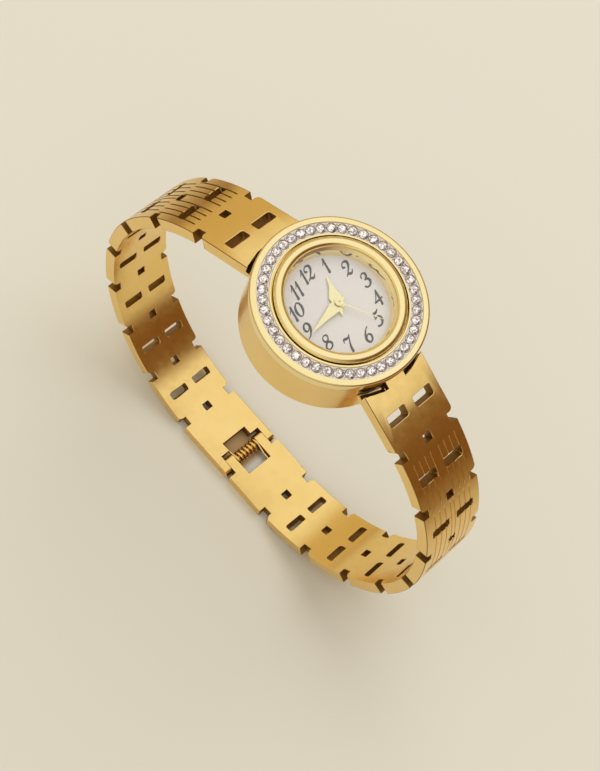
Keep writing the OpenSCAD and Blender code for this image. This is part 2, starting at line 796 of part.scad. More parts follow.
module second_wheel() {
    color("goldenrod") {
        rod([0, 0], bridge_top - pivot_l, second_z + 0.08, arbor_r);
        translate([0, 0, second_wheel_z]) gear(30, second_mod, inter_dir, wheel_t);
        translate([0, 0, third_z - 0.05]) gear(8, third_mod, third_dir, wheel_t + 0.1);
    }
}

module third_wheel() {
    color("goldenrod") at_height(third_at, 0) {
        rod([0, 0], bridge_top - pivot_l, plate_low + pivot_l, arbor_r);
        translate([0, 0, third_z]) gear(60, third_mod, third_dir + 183, wheel_t);
        translate([0, 0, centre_z - 0.02]) gear(8, 34 / 36 * third_mod, third_dir + 180, wheel_t + 0.04);
    }
}

module centre_wheel() {
    color("goldenrod") difference() {
        union() {
            translate([0, 0, centre_z]) gear(64, 34 / 36 * third_mod, third_dir + 180 / 64, wheel_t);
            rod([0, 0], centre_z, minute_z + hand_t, cannon_r);
            translate([0, 0, plate_top + 0.04]) gear(10, hour_mod, minute_dir, wheel_t + 0.03);
        }
        rod([0, 0], centre_z - 1, second_z, arbor_r + pivot_play);
    }
}

module minute_wheel() {
    color("goldenrod") at_height(minute_at, plate_top + 0.06) difference() {
        union() {
            gear(30, hour_mod, minute_dir + 186, wheel_t);
            gear(8, hour_mod, minute_dir + 180, 0.43);
        }
        rod([0, 0], -1, 1, 0.15 + pivot_play);
    }
}

module hour_wheel() {
    color("goldenrod") difference() {
        union() {
            translate([0, 0, plate_top + 0.3]) gear(32, hour_mod, minute_dir + 180 / 32, wheel_t);
            rod([0, 0], plate_top + 0.3, hour_z + hand_t, hour_tube_r);
        }
        rod([0, 0], plate_top, minute_z, cannon_r + pivot_play);
    }
}

core_x = rotor_at[0] - 1.93;
core_w = 0.6;
core_t = 0.25;
core_z = stator_z + 0.25 + seat;
core_half = 4;
coil_half = 3;
module stator() {
    color("silver") translate([0, 0, stator_z]) difference() {
        translate([rotor_at[0] - 0.95, -core_half, 0]) cube([1.9, 2 * core_half, 0.25]);
        translate([rotor_at[0], rotor_at[1], -1]) cylinder(r = 0.75, h = 2);
        rod(inter_at, -1, 1, arbor_r + 0.15);
    }
}

module coil_core() {
    color("silver") translate([0, 0, core_z]) {
        translate([core_x - core_w / 2, -core_half, 0]) cube([core_w, 2 * core_half, core_t]);
        for (y = [-core_half, core_half - core_w])
            translate([core_x, y, 0]) cube([rotor_at[0] + 0.3 - core_x, core_w, core_t]);
    }
}

module coil() {
    color("chocolate") translate([core_x, coil_half, core_z + core_t / 2]) rotate([90, 0, 0]) difference() {
        cylinder(r = 0.8, h = 2 * coil_half, $fn = 48);
        translate([-core_w / 2 - seat, -core_t / 2 - seat, -1])
            cube([core_w + 2 * seat, core_t + 2 * seat, 2 * coil_half + 2]);
    }
}

left_arm();
right_arm();
hinge_pin();
hinge_spring();
arm_fixing_pin();
case_middle();
bezel();
stone_setting();
bezel_stones();
glass_ring();
glass();
glass_gasket();
dial_ring();
dial();
hour_hand();
minute_hand();
second_hand();
crown();
winding_stem();
crown_tube();
crown_gasket();
case_back();
case_back_gasket();
movement_holder();
main_plate();
train_bridge();
bridge_screws();
rotor();
intermediate_wheel();
second_wheel();
third_wheel();
centre_wheel();
minute_wheel();
hour_wheel();
stator();
coil();
coil_core();
battery();
battery_strap();
circuit_board();
quartz_can();
setting_lever();
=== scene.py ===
# %% [markdown]
# # A ladies' bangle watch
# The imported model comes in as a fixed frame, in metres. This lesson gives it its finishes: plated
# gold, set stones, a printed dial. Shapes that are too fine for the model are made here, and each of
# them but the hinge spring rides on the body of the model that carries it. Shapes on the watch are
# drawn in millimetres, which MM turns into metres; the floor, the lamp and the grain of a finish are
# in metres.

# %% Load the frame
import math
import bmesh
import bpy
from mathutils import Matrix, Vector


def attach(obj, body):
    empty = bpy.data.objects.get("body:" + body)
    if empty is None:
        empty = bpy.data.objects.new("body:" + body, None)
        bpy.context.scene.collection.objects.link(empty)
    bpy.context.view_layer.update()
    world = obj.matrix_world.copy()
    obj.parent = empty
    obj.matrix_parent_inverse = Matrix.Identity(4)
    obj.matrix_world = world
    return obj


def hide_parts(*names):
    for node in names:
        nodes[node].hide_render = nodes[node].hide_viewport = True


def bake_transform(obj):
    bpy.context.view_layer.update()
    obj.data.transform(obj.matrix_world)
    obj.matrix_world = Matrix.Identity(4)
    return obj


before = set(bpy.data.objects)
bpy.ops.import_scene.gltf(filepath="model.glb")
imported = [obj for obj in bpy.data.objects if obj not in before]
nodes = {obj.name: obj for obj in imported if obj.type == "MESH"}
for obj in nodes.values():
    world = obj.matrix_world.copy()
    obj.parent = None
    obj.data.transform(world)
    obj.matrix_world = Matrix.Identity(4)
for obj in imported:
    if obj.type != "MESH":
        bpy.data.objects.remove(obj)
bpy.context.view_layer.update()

MM = 0.001

# %% [markdown]
# ## The camera
# The photograph looks down on the watch from in front, with the camera rolled about its own axis.
# A camera is a matrix: three columns for its right, its up and the way back, and a fourth for its
# place. Working them out from a few angles keeps the view easy to check against the photograph.

# %% Place the camera
FOCAL_PIXELS, PHOTO_HEIGHT = 1521.628, 771
SENSOR = 24


def camera_matrix(azimuth, elevation, roll, distance, aside, up_by, target_z):
    a, e, r = (math.radians(v) for v in (azimuth, elevation, roll))
    back = Vector((math.sin(a) * math.cos(e), -math.cos(a) * math.cos(e), math.sin(e)))
    level = (-back).cross(Vector((0, 0, 1))).normalized()
    upright = level.cross(-back)
    right = math.cos(r) * level + math.sin(r) * upright
    up = math.cos(r) * upright - math.sin(r) * level
    place = back * distance + right * aside + up * up_by + Vector((0, 0, target_z))
    matrix = Matrix((right, up, back)).transposed().to_4x4()
    matrix.translation = place * MM
    return matrix


camera = bpy.data.objects.new("camera", bpy.data.cameras.new("camera"))
bpy.context.scene.collection.objects.link(camera)
camera.matrix_world = camera_matrix(azimuth=16.715, elevation=64.288, roll=32.868, distance=214.611,
                                    aside=2.385, up_by=0.877, target_z=27)
camera.data.sensor_fit = "VERTICAL"
camera.data.sensor_height = SENSOR
camera.data.lens = SENSOR * FOCAL_PIXELS / PHOTO_HEIGHT
camera.data.clip_start = 0.01
bpy.context.scene.camera = camera
bpy.context.scene.view_settings.view_transform = "Standard"
print("lens:", round(camera.data.lens, 2), "mm")

# %% [markdown]
# ## Helpers for materials
# Every finish here is a Principled shader with a few nodes in front of it. A helper that makes a
# node, sets its sockets and joins its inputs keeps each finish down to a few readable lines. A Mix
# node has its colour sockets behind those for numbers and vectors, so they are named by their place.

# %% Helpers that make nodes
MIX_AMOUNT, MIX_FIRST, MIX_SECOND, MIXED = 0, 6, 7, 2


def srgb(r, g, b):
    """A colour as an image editor gives it, turned into the linear values that a shader takes."""
    shares = (r / 255, g / 255, b / 255)
    return (*(v / 12.92 if v <= 0.04045 else ((v + 0.055) / 1.055) ** 2.4 for v in shares), 1)


def add_node(tree, kind, inputs=None, **settings):
    """A node with its settings and inputs filled. An input is a plain value or another node's socket."""
    node = tree.nodes.new(kind)
    for name, value in settings.items():
        setattr(node, name, value)
    for name, value in (inputs or {}).items():
        socket = node.inputs[name]
        if isinstance(value, bpy.types.NodeSocket):
            tree.links.new(value, socket)
        else:
            socket.default_value = value
    return node


def grain(tree, scale, detail=3.0, stretch=(1, 1, 1)):
    """Noise on the piece's own coordinates; scale counts features in a metre."""
    where = add_node(tree, "ShaderNodeTexCoord").outputs["Object"]
    stretched = add_node(tree, "ShaderNodeMapping", {"Vector": where, "Scale": stretch}).outputs["Vector"]
    noise = add_node(tree, "ShaderNodeTexNoise", {"Vector": stretched, "Scale": scale, "Detail": detail})
    return noise.outputs["Fac"]


def between(tree, value, low, high, start=0.3, end=0.7):
    """A value that goes from low to high while the given one goes from start to end."""
    ranged = add_node(tree, "ShaderNodeMapRange", {
        "Value": value, "From Min": start, "From Max": end, "To Min": low, "To Max": high})
    return ranged.outputs["Result"]


def two_tones(tree, amount, first, second):
    """A mix of two colours. Each is a plain colour or another node's socket."""
    inputs = {MIX_AMOUNT: amount, MIX_FIRST: first, MIX_SECOND: second}
    return add_node(tree, "ShaderNodeMix", inputs, data_type="RGBA").outputs[MIXED]


# %% Helpers that fill a shader
def new_finish(name, **sockets):
    """A material with a Principled shader, its fixed numbers set on the shader's own sockets."""
    material = bpy.data.materials.new(name)
    material.use_nodes = True
    shader = material.node_tree.nodes["Principled BSDF"]
    for socket, value in sockets.items():
        shader.inputs[socket.replace("_", " ")].default_value = value
    return material, material.node_tree, shader


def colour_by(tree, shader, amount, first, second):
    tree.links.new(two_tones(tree, amount, first, second), shader.inputs["Base Color"])


def roughen(tree, shader, value, smooth, rough):
    tree.links.new(between(tree, value, smooth, rough), shader.inputs["Roughness"])


def relief(tree, shader, height, depth):
    bump = add_node(tree, "ShaderNodeBump", {"Height": height, "Distance": depth, "Strength": 1.0})
    tree.links.new(bump.outputs["Normal"], shader.inputs["Normal"])


# %% [markdown]
# ## Plated gold
# Gold plate on steel is a thin, bright metal skin. It has no pattern of its own: what is seen is the
# room, tinted. Two things stop it from looking like paint: a roughness that wanders a little from
# fingers and polishing, and a very shallow unevenness. All the gold shares one recipe: satin on the
# band, paler on the head, and dull where a saw has cut and no buff can reach, with painted shade
# making it brown there. The same recipe in dark brown is painted shade in the gap round the case and
# in the seats of the stones.

# %% Gold finishes
def gold_finish(name, smooth, rough, pale, deep, ripple):
    material, tree, shader = new_finish(name, Metallic=1.0)
    colour_by(tree, shader, between(tree, grain(tree, 160, 2.0), 0, 1), pale, deep)
    roughen(tree, shader, grain(tree, 900, 5.0), smooth, rough)
    relief(tree, shader, grain(tree, 5200, 3.0), ripple)
    return material


band_pale, band_deep = (0.94, 0.67, 0.255, 1), (0.90, 0.63, 0.215, 1)
head_pale, head_deep = (0.97, 0.81, 0.42, 1), (0.95, 0.78, 0.38, 1)
gold_satin = gold_finish("gold_satin", 0.17, 0.26, band_pale, band_deep, 1.2e-6)
gold_polished = gold_finish("gold_polished", 0.05, 0.10, band_pale, band_deep, 4e-7)
gold_head = gold_finish("gold_head", 0.12, 0.20, head_pale, head_deep, 6e-7)
gold_rim = gold_finish("gold_rim", 0.03, 0.07, head_pale, head_deep, 3e-7)
gold_hands = gold_finish("gold_hands", 0.22, 0.32, (0.96, 0.87, 0.46, 1), (0.93, 0.83, 0.42, 1), 4e-7)
# Rough cut gold, painted dark brown as the shade in cuts and recesses and along edges.
gold_cut_shaded = gold_finish("gold_cut_shaded", 0.42, 0.58, (0.36, 0.20, 0.05, 1), (0.28, 0.15, 0.035, 1), 3e-6)
gold_line = gold_finish("gold_line", 0.26, 0.36, (0.88, 0.60, 0.23, 1), (0.80, 0.54, 0.19, 1), 1e-6)
gap_shade = gold_finish("gap_shade", 0.6, 0.75, (0.13, 0.065, 0.025, 1), (0.08, 0.04, 0.015, 1), 3e-6)
seat_shade = gold_finish("seat_shade", 0.5, 0.65, (0.16, 0.13, 0.11, 1), (0.11, 0.09, 0.08, 1), 1e-6)
print("materials so far, with the frame's own:", len(bpy.data.materials))

# %% [markdown]
# ## The other metals and the plastics
# Steel, brass and the dark parts of the works are mostly hidden. Each still has its own grain: steel
# is turned, so its noise is stretched; brass is spotted with tarnish; the coil's wire lies in rows.

# %% Recipes for metal and plastic
def metal_finish(name, light, dark, smooth, rough, scale=1400, stretch=(1, 1, 1), ripple=8e-7):
    material, tree, shader = new_finish(name, Metallic=1.0)
    colour_by(tree, shader, between(tree, grain(tree, scale * 0.3, 4.0), 0, 1), light, dark)
    marks = grain(tree, scale, 4.0, stretch)
    roughen(tree, shader, marks, smooth, rough)
    relief(tree, shader, marks, ripple)
    return material


def plastic_finish(name, light, dark, smooth, rough, scale=2400, ripple=1.5e-6):
    material, tree, shader = new_finish(name)
    colour_by(tree, shader, between(tree, grain(tree, scale * 0.2), 0, 1), light, dark)
    pores = grain(tree, scale, 4.0)
    roughen(tree, shader, pores, smooth, rough)
    relief(tree, shader, pores, ripple)
    return material


# %% Metals, rubber, plastics
steel = metal_finish("turned_steel", (0.62, 0.61, 0.59, 1), (0.52, 0.51, 0.50, 1), 0.18, 0.34,
                     scale=2600, stretch=(1, 1, 7))
brass = metal_finish("wheel_brass", (0.86, 0.63, 0.28, 1), (0.72, 0.50, 0.20, 1), 0.2, 0.38)
dark_steel = metal_finish("rotor_steel", (0.26, 0.26, 0.27, 1), (0.17, 0.17, 0.18, 1), 0.3, 0.5)
rhodium = metal_finish("rhodium_bed", (0.90, 0.84, 0.82, 1), (0.76, 0.69, 0.67, 1), 0.24, 0.42,
                       scale=3000)
rubber = plastic_finish("seal_rubber", (0.03, 0.03, 0.032, 1), (0.018, 0.018, 0.02, 1), 0.55, 0.75)
nylon = plastic_finish("holder_plastic", (0.78, 0.77, 0.73, 1), (0.70, 0.69, 0.65, 1), 0.38, 0.52)
board = plastic_finish("board_lacquer", (0.02, 0.15, 0.05, 1), (0.012, 0.10, 0.035, 1), 0.2, 0.36)

winding, winding_tree, winding_shader = new_finish("copper_winding", Metallic=1.0, Roughness=0.3)
winding_at = add_node(winding_tree, "ShaderNodeTexCoord").outputs["Object"]
wave = add_node(winding_tree, "ShaderNodeTexWave", {
    "Vector": winding_at, "Scale": 3200.0, "Distortion": 0.4}, bands_direction="Y")
wire_rows = wave.outputs["Fac"]
colour_by(winding_tree, winding_shader, wire_rows, (0.30, 0.10, 0.04, 1), (0.83, 0.40, 0.22, 1))
relief(winding_tree, winding_shader, wire_rows, 2e-5)
print("materials so far:", len(bpy.data.materials))

# %% [markdown]
# ## Glass, stones and dial
# The glass has to let the light reach the dial, so it is a nearly clear skin rather than a true
# refracting block. The stones are foil-backed glass under a clear coat; the back facets show through
# as cells, some lit and some dark, which are painted reflections in the stone's colour. Dial paint is
# a matt white with a trace of pearl in it.

# %% Clear finishes
glass_clear, glass_tree, glass_shader = new_finish(
    "watch_glass", Base_Color=(0.96, 0.98, 0.98, 1), Alpha=0.05, IOR=1.5)
roughen(glass_tree, glass_shader, grain(glass_tree, 700, 4.0), 0.01, 0.05)

crystal, crystal_tree, crystal_shader = new_finish(
    "foiled_stone", Metallic=0.75, Coat_Weight=1.0, Coat_Roughness=0.02)
stone_at = add_node(crystal_tree, "ShaderNodeTexCoord").outputs["Object"]
# Lit and dark cells painted into the base colour stand in for reflections in the back facets.
foil = add_node(crystal_tree, "ShaderNodeTexVoronoi", {"Vector": stone_at, "Scale": 5200.0})
foil_pick = add_node(crystal_tree, "ShaderNodeSeparateColor", {"Color": foil.outputs["Color"]}).outputs[0]
facet_glint_tone = between(crystal_tree, foil_pick, 0, 1, 0.18, 0.55)
colour_by(crystal_tree, crystal_shader, facet_glint_tone, (0.33, 0.28, 0.26, 1), (1.0, 0.95, 0.94, 1))
roughen(crystal_tree, crystal_shader, grain(crystal_tree, 2500, 2.0), 0.03, 0.12)

# %% Paint and ink of the dial
dial_paint, dial_tree, dial_shader = new_finish("dial_paint", Coat_Weight=0.2, Coat_Roughness=0.3)
pearl = grain(dial_tree, 9000, 5.0)
pearl_tone = between(dial_tree, pearl, 0, 1)
colour_by(dial_tree, dial_shader, pearl_tone, srgb(226, 221, 216), srgb(217, 211, 206))
roughen(dial_tree, dial_shader, pearl, 0.42, 0.55)
relief(dial_tree, dial_shader, grain(dial_tree, 14000, 2.0), 1e-6)

print_ink, ink_tree, ink_shader = new_finish("numeral_ink")
ink_grain = grain(ink_tree, 8000)
ink_tone = between(ink_tree, ink_grain, 0, 1)
colour_by(ink_tree, ink_shader, ink_tone, srgb(52, 46, 42), srgb(68, 61, 56))
roughen(ink_tree, ink_shader, ink_grain, 0.35, 0.5)
print("materials so far:", len(bpy.data.materials))

# %% [markdown]
# ## Finishes for the parts of the model
# A part whose shape is right already only needs its material slots filled.

# %% Give each node its finish
finish_of = {
    gold_satin: ["left_arm", "right_arm", "case_middle"],
    gold_head: ["bezel", "glass_ring", "dial_ring"],
    gold_polished: ["crown", "hinge_pin", "arm_fixing_pin", "hinge_spring"],
    gold_hands: ["hour_hand", "minute_hand", "second_hand"],
    rhodium: ["stone_setting"],
    crystal: ["bezel_stones"],
    glass_clear: ["glass"],
    dial_paint: ["dial"],
    steel: ["winding_stem", "crown_tube", "case_back", "main_plate", "train_bridge", "stator",
            "coil_core", "battery", "quartz_can", "setting_lever", "bridge_screws"],
    brass: ["intermediate_wheel", "second_wheel", "third_wheel", "centre_wheel", "minute_wheel",
            "hour_wheel", "battery_strap"],
    dark_steel: ["rotor"],
    rubber: ["crown_gasket", "case_back_gasket"],
    nylon: ["movement_holder", "glass_gasket"],
    board: ["circuit_board"],
    winding: ["coil"],
}
for material, names in finish_of.items():
    for name in names:
        slots = nodes[name].data.materials
        slots.clear()
        slots.append(material)
print("finished nodes:", sum(len(names) for names in finish_of.values()))

# %% [markdown]
# ## The course of the band
# Both halves of the bangle follow one line: a short flat, then three bends that run into each other.
# The model was built on this line. Repeating it here gives every point on the band its height, and
# the exact direction in which the metal faces there, so that reflections run clean over the facets.

# %% The band's line
BACK_FLAT = 7.17
BENDS = [(23.71, 48.92), (29.09, 67.27), (25.74, 36.05)]
# A point near the middle and lower than this belongs to the flat, not to the band's upper end.
FLAT_BELOW = 20


def course(s):
    """Place (x, z) in millimetres and heading in radians at a length s along the outer face."""
    if s <= BACK_FLAT:
        return s, 0.0, 0.0
    x, z, heading, left = BACK_FLAT, 0.0, 0.0, s - BACK_FLAT
    for radius, degrees in BENDS:
        turn = min(left / radius, math.radians(degrees))
        x += radius * (math.sin(heading + turn) - math.sin(heading))
        z += radius * (math.cos(heading) - math.cos(heading + turn))
        heading += turn
        left -= radius * math.radians(degrees)
        if left <= 0:
            return x, z, heading
    return x + left * math.cos(heading), z + left * math.sin(heading), heading


def facing(x, z):
    """Heading of the band at a point near it, found from the bend that the point belongs to."""
    heading, start_x, start_z = 0.0, BACK_FLAT, 0.0
    if x <= BACK_FLAT and z < FLAT_BELOW:
        return 0.0
    for radius, degrees in BENDS:
        middle = (start_x - radius * math.sin(heading), start_z + radius * math.cos(heading))
        at = math.atan2(x - middle[0], middle[1] - z) % math.tau
        end = heading + math.radians(degrees)
        if heading - 1e-6 <= at <= end:
            return at
        start_x, start_z = middle[0] + radius * math.sin(end), middle[1] - radius * math.cos(end)
        heading = end
    return heading


S_TOP = BACK_FLAT + sum(r * math.radians(d) for r, d in BENDS)
TOP_X, TOP_Z, TOP_HEADING = course(S_TOP)
print("band line ends at x", round(TOP_X, 3), "z", round(TOP_Z, 3))
print("heading there:", round(math.degrees(TOP_HEADING), 2), "degrees")

# %% [markdown]
# ## Helpers for pieces
# A modifier stack is only a recipe. Asking for the evaluated object and making a mesh of it gives a
# plain piece that can ride on a body, be exported, and be measured.

# %% Piece helpers
def new_object(name, data, material=None):
    obj = bpy.data.objects.new(name, data)
    bpy.context.scene.collection.objects.link(obj)
    if material is not None:
        data.materials.clear()
        data.materials.append(material)
    return obj


def mesh_of(name, bm):
    """A mesh made of the faces drawn so far, which are then let go."""
    mesh = bpy.data.meshes.new(name)
    bm.to_mesh(mesh)
    bm.free()
    return mesh


def settle(obj):
    """Replace an object's mesh by what its modifiers make of it."""
    bpy.context.view_layer.update()
    evaluated = obj.evaluated_get(bpy.context.evaluated_depsgraph_get())
    made = bpy.data.meshes.new_from_object(evaluated)
    obj.modifiers.clear()
    obj.data = made
    return obj


def poly_curve(name, points):
    curve = bpy.data.curves.new(name, "CURVE")
    curve.dimensions = "3D"
    spline = curve.splines.new("POLY")
    spline.points.add(len(points) - 1)
    for target, point in zip(spline.points, points):
        target.co = (*(v * MM for v in point), 1)
    return new_object(name, curve)


# %% Helpers for Geometry Nodes
def geometry_tree(name, sockets):
    """An empty tree with named inputs, given as (name, kind of socket, value)."""
    tree = bpy.data.node_groups.new(name, "GeometryNodeTree")
    tree.interface.new_socket("Geometry", in_out="OUTPUT", socket_type="NodeSocketGeometry")
    for socket, kind, value in sockets:
        item = tree.interface.new_socket(socket, in_out="INPUT", socket_type="NodeSocket" + kind)
        if value is not None:
            item.default_value = value
    inputs = tree.nodes.new("NodeGroupInput").outputs
    output = tree.nodes.new("NodeGroupOutput").inputs["Geometry"]
    return tree, inputs, output


def end_tree(tree, geometry, material, output):
    real = add_node(tree, "GeometryNodeRealizeInstances", {"Geometry": geometry})
    done = add_node(tree, "GeometryNodeSetMaterial", {"Geometry": real.outputs[0], "Material": material})
    tree.links.new(done.outputs[0], output)
    print("tree", tree.name, "has", len(tree.nodes), "nodes")


def grow(name, tree, values):
    """An object made by a tree alone, with the tree's inputs set by their identifiers."""
    obj = new_object(name, bpy.data.meshes.new(name))
    modifier = obj.modifiers.new(name, "NODES")
    modifier.node_group = tree
    for item in tree.interface.items_tree:
        if item.in_out == "INPUT" and item.name in values:
            modifier[item.identifier] = values[item.name]
    return settle(obj)


# %% [markdown]
# ## Fine grooves in the band
# Eight fine lines are milled along each half, from just past its first false link and round its side.
# They are cuts, so the piece is made as the workshop makes it: a tool is led along the band's line,
# once for each lane, and taken away from the metal. Geometry Nodes lead the tool: a small round
# profile follows the line, and the result repeats across the width.

# %% A tree that leads a round tool along a line
lanes_tree, lane_in, lane_out = geometry_tree("groove_lanes", [
    ("Line", "Object", None), ("Tool radius", "Float", 1e-4), ("First lane", "Float", 7.5e-4),
    ("Lane step", "Float", 1e-3), ("Lanes", "Int", 4), ("Finish", "Material", None)])
line = add_node(lanes_tree, "GeometryNodeObjectInfo", {"Object": lane_in["Line"]}).outputs["Geometry"]
tool = add_node(lanes_tree, "GeometryNodeCurvePrimitiveCircle", {
    "Resolution": 8, "Radius": lane_in["Tool radius"]})
swept = add_node(lanes_tree, "GeometryNodeCurveToMesh", {
    "Curve": line, "Profile Curve": tool.outputs[0], "Fill Caps": True})
first = add_node(lanes_tree, "ShaderNodeCombineXYZ", {"Y": lane_in["First lane"]})
step = add_node(lanes_tree, "ShaderNodeCombineXYZ", {"Y": lane_in["Lane step"]})
lanes = add_node(lanes_tree, "GeometryNodeMeshLine", {
    "Count": lane_in["Lanes"], "Start Location": first.outputs[0], "Offset": step.outputs[0]})
repeated = add_node(lanes_tree, "GeometryNodeInstanceOnPoints", {
    "Points": lanes.outputs[0], "Instance": swept.outputs[0]})
end_tree(lanes_tree, repeated.outputs[0], lane_in["Finish"], lane_out)

# %% [markdown]
# ## The two halves of the band
# The model's own mesh stays as it is. A copy of it is welded, its flat facets are joined, and its
# edges are eased. Walls that were sawn get the dull finish, whose dark brown is painted shade, and so
# do the long outer edges, where it paints a fine dark line along the band. The narrow gap round the
# case gets a dark finish of painted shade.

# %% Copy a half and sort its faces
SATIN, SHADED_DULL, GAP = 0, 1, 2
SIDE_Y = 5.0
GAP_R, GAP_ABOVE, GAP_DEPTH, TONGUE_Y = 12.03, 48, 0.5, 1.45


def welded_copy(name):
    bm = bmesh.new()
    bm.from_mesh(nodes[name].data)
    bmesh.ops.remove_doubles(bm, verts=bm.verts, dist=2e-7)
    bmesh.ops.dissolve_limit(bm, angle_limit=math.radians(0.3), verts=bm.verts, edges=bm.edges)
    return bm


def band_normal(x, z, side, roll=0.0):
    heading = facing(abs(x) / MM, z / MM) + roll
    return Vector((side * math.sin(heading), 0, -math.cos(heading)))


def skin_lean(face, side):
    """1 on the band's outer skin, -1 on its inner skin, near 0 on walls and edges."""
    middle = face.calc_center_median()
    return face.normal.dot(band_normal(middle.x, middle.z, side))


def sort_face(face, side):
    """Which finish a face gets. The gap is near the case, beside the tongue and below the skin."""
    x, y, z = (abs(v) / MM for v in face.calc_center_median())
    below_skin = (z - TOP_Z) * math.cos(TOP_HEADING) - (x - TOP_X) * math.sin(TOP_HEADING)
    lean = abs(skin_lean(face, side))
    near_case = z > GAP_ABOVE and math.hypot(x, y) < GAP_R
    # Faces in the gap round the case get painted dark shade.
    if near_case and y > TONGUE_Y and (below_skin > GAP_DEPTH or lean < 0.5):
        return GAP
    # Walls inside the band get the dull finish, painted darker as shade.
    return SHADED_DULL if lean < 0.3 and y < SIDE_Y else SATIN


# %% Ease the edges of a half
EASE = 0.08
# Skin leans at least this much; edges flatter than this angle, or this near the hinge, stay sharp.
ON_SKIN, LEAST_ANGLE, NEAR_HINGE = 0.995, 0.6, 4.2
FACET_LINE_Y, FACET_ROOM = 3.95, 0.12


def crowded(edge, skin):
    """Whether a facet line lies so close behind an edge that there is no room to ease the edge."""
    a, b = edge.verts
    along = b.co - a.co
    if abs(along.y) < 0.9 * along.length:
        return False
    face = next(f for f in edge.link_faces if f in skin)
    across = along.normalized().cross(face.normal)
    others = [v.co for v in face.verts if v not in edge.verts and abs(v.co.y) > FACET_LINE_Y * MM]
    return any(abs((co - a.co).dot(across)) < FACET_ROOM * MM for co in others)


def band_half(name, side):
    bm = welded_copy(name)
    skin = {f for f in bm.faces if abs(skin_lean(f, side)) > ON_SKIN}
    outline = [e for e in bm.edges if len(e.link_faces) == 2 and len(skin & set(e.link_faces)) == 1]
    edges = [e for e in outline
             if abs(e.verts[0].co.x) > NEAR_HINGE * MM and e.calc_face_angle(0) > LEAST_ANGLE]
    kept = [e for e in edges if not crowded(e, skin)]
    print(name, "edges to ease:", len(kept), "left sharp:", len(edges) - len(kept))
    for face in bm.faces:
        face.material_index = sort_face(face, side)
    eased_faces = bmesh.ops.bevel(bm, geom=kept, offset=EASE * MM, segments=2, profile=0.5,
                                  affect="EDGES", clamp_overlap=False)["faces"]
    # The eased facets of the long outer edges take the dull finish: a painted dark line.
    for face in eased_faces:
        if abs(face.calc_center_median().y) > SIDE_Y * MM and skin_lean(face, side) > 0:
            face.material_index = SHADED_DULL
    mesh = bpy.data.meshes.new(name + "_finished")
    for finish in (gold_satin, gold_cut_shaded, gap_shade):
        mesh.materials.append(finish)
    bm.to_mesh(mesh)
    bm.free()
    return new_object(name + "_finished", mesh)


# %% Make both halves
band_halves = {"left_arm": band_half("left_arm", -1), "right_arm": band_half("right_arm", 1)}
for half in band_halves.values():
    kinds = [f.material_index for f in half.data.polygons]
    print(half.name, "satin, sawn and gap faces:", [kinds.count(kind) for kind in (SATIN, SHADED_DULL, GAP)])

# %% [markdown]
# ## Cutting the grooves
# All the lanes of one half are joined into one tool and taken away in one cut. The cut faces bring
# their own finish with them. On the left half it is duller and darker, as in the photograph, and the
# darker colour there is painted shade. Metal and tool are both closed, so the manifold solver can be
# used.

# %% One tool for a family of lanes
GROOVE_R, GROOVE_SINK = 0.13, 0.05
RUN_OUT, RUN_OUT_RISE = 0.6, 0.14
LANE_STEP, LANES_EACH, LANE_PARTS = 1.0, 4, 60


def tool_depth(s, start, end):
    """The tool runs out of the metal at both ends of a lane, so that the groove ends in a point."""
    return GROOVE_SINK - RUN_OUT_RISE * max(0, 1 - min(s - start, end - s) / RUN_OUT)


def groove_cutter(name, side, start, end, first_lane, finish):
    points = []
    for i in range(LANE_PARTS + 1):
        s = start + (end - start) * i / LANE_PARTS
        x, z, heading = course(s)
        depth = tool_depth(s, start, end)
        points.append((side * (x - depth * math.sin(heading)), 0, z + depth * math.cos(heading)))
    line = poly_curve(name + "_line", points)
    cutter = grow(name, lanes_tree, {
        "Line": line, "Tool radius": GROOVE_R * MM, "First lane": first_lane * MM,
        "Lane step": LANE_STEP * MM, "Lanes": LANES_EACH, "Finish": finish})
    bpy.data.objects.remove(line)
    return cutter


# %% Join the tools and cut
# Each family of lanes: where it starts and ends along the band, and how far across its first lane is.
LANES = [(66.6, 74.6, 0.75), (66.6, 74.6, -3.75), (47.0, 66.0, 0.35), (47.0, 66.0, -3.35)]


def joined(name, objects, finish):
    bm = bmesh.new()
    for obj in objects:
        bm.from_mesh(obj.data)
        bpy.data.objects.remove(obj)
    return new_object(name, mesh_of(name, bm), finish)


def cut_away(obj, cutter):
    modifier = obj.modifiers.new("cut", "BOOLEAN")
    modifier.operation = "DIFFERENCE"
    modifier.solver = "MANIFOLD"
    modifier.object = cutter
    settle(obj)
    bpy.data.objects.remove(cutter)


# Grooves: the left half's are painted darker as shade, the right half's get the line finish.
for name, side, finish in (("left_arm", -1, gold_cut_shaded), ("right_arm", 1, gold_line)):
    tools = [groove_cutter(name + "_lanes", side, start, end, lane, finish) for start, end, lane in LANES]
    cut_away(band_halves[name], joined(name + "_tool", tools, finish))
    print(name, "faces after the cut:", len(band_halves[name].data.polygons))

# %% [markdown]
# ## Clean reflections
# A facet reflects one flat patch of the room, and a row of facets breaks a reflection into steps. The
# skins get the exact direction of the bend instead, and large flat walls keep their own. Near the
# case the metal was rolled over by the buff, so there the direction leans up a little more.

# %% Exact directions for the skins
ROLL = math.radians(12)
ROLL_START, ROLL_LENGTH, ROLL_ABOVE = 17.2, 4.0, 45
LARGE_WALL = 0.3


def roll_over(x, z):
    t = min(max((ROLL_START - abs(x) / MM) / ROLL_LENGTH, 0), 1)
    return ROLL * t * t * (3 - 2 * t) if z > ROLL_ABOVE * MM else 0.0


